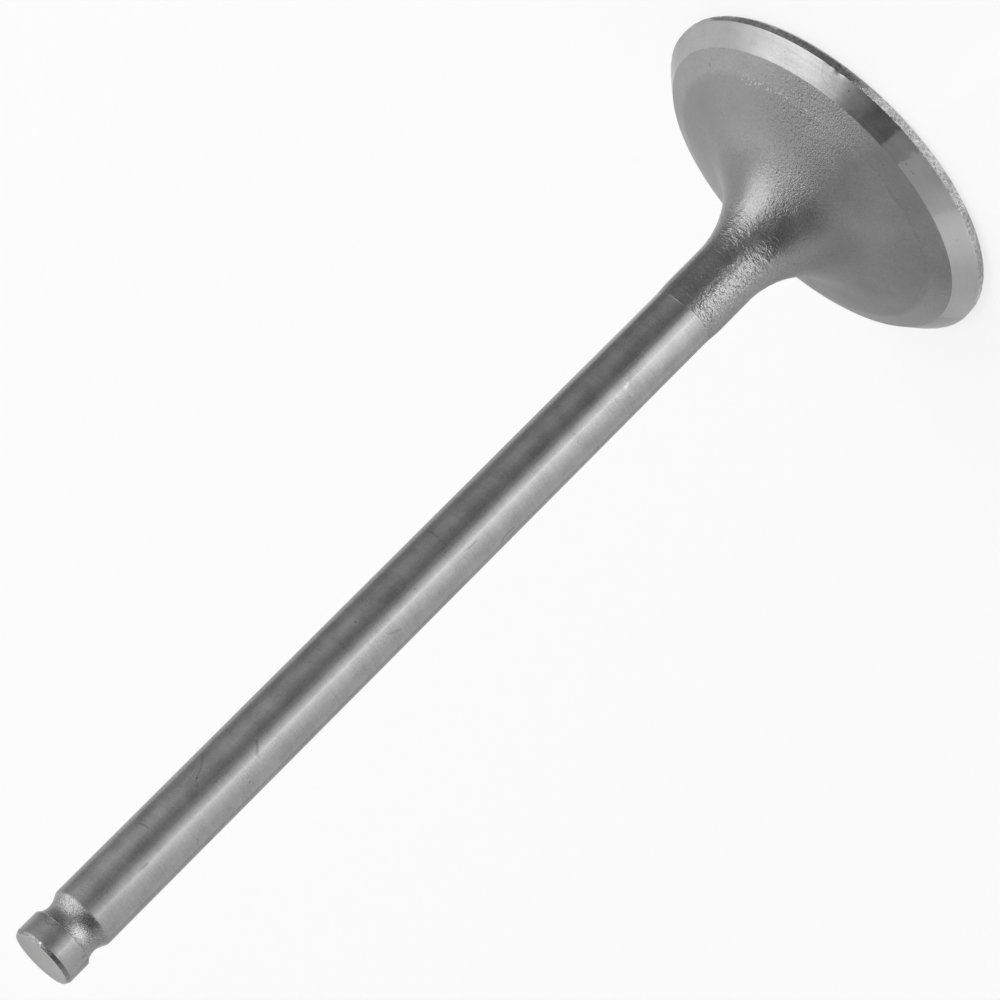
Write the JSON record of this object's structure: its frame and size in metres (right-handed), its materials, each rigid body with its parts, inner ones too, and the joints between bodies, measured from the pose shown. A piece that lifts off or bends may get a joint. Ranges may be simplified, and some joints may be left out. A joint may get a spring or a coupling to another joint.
{
  "type": "engine valve",
  "caption": "Poppet valve with a round head, a conical seat face, a forged neck, a ground stem and a keeper groove near the tip.",
  "frame": {"origin": "centre of the combustion face, the flat face of the head that the valve stands on", "axes": "+Z runs from the combustion face up the stem to the tip; X and Y are any pair square to it, because the part is round all over"},
  "size_m": [0.035, 0.035, 0.0992],
  "materials": {
    "valve_steel": "ground on the stem, seat face, groove and tip; as forged and shot-blasted on the neck and under the head"
  },
  "bodies": {
    "root": {"engine_valve": "valve_steel"}
  },
  "joints": []
}
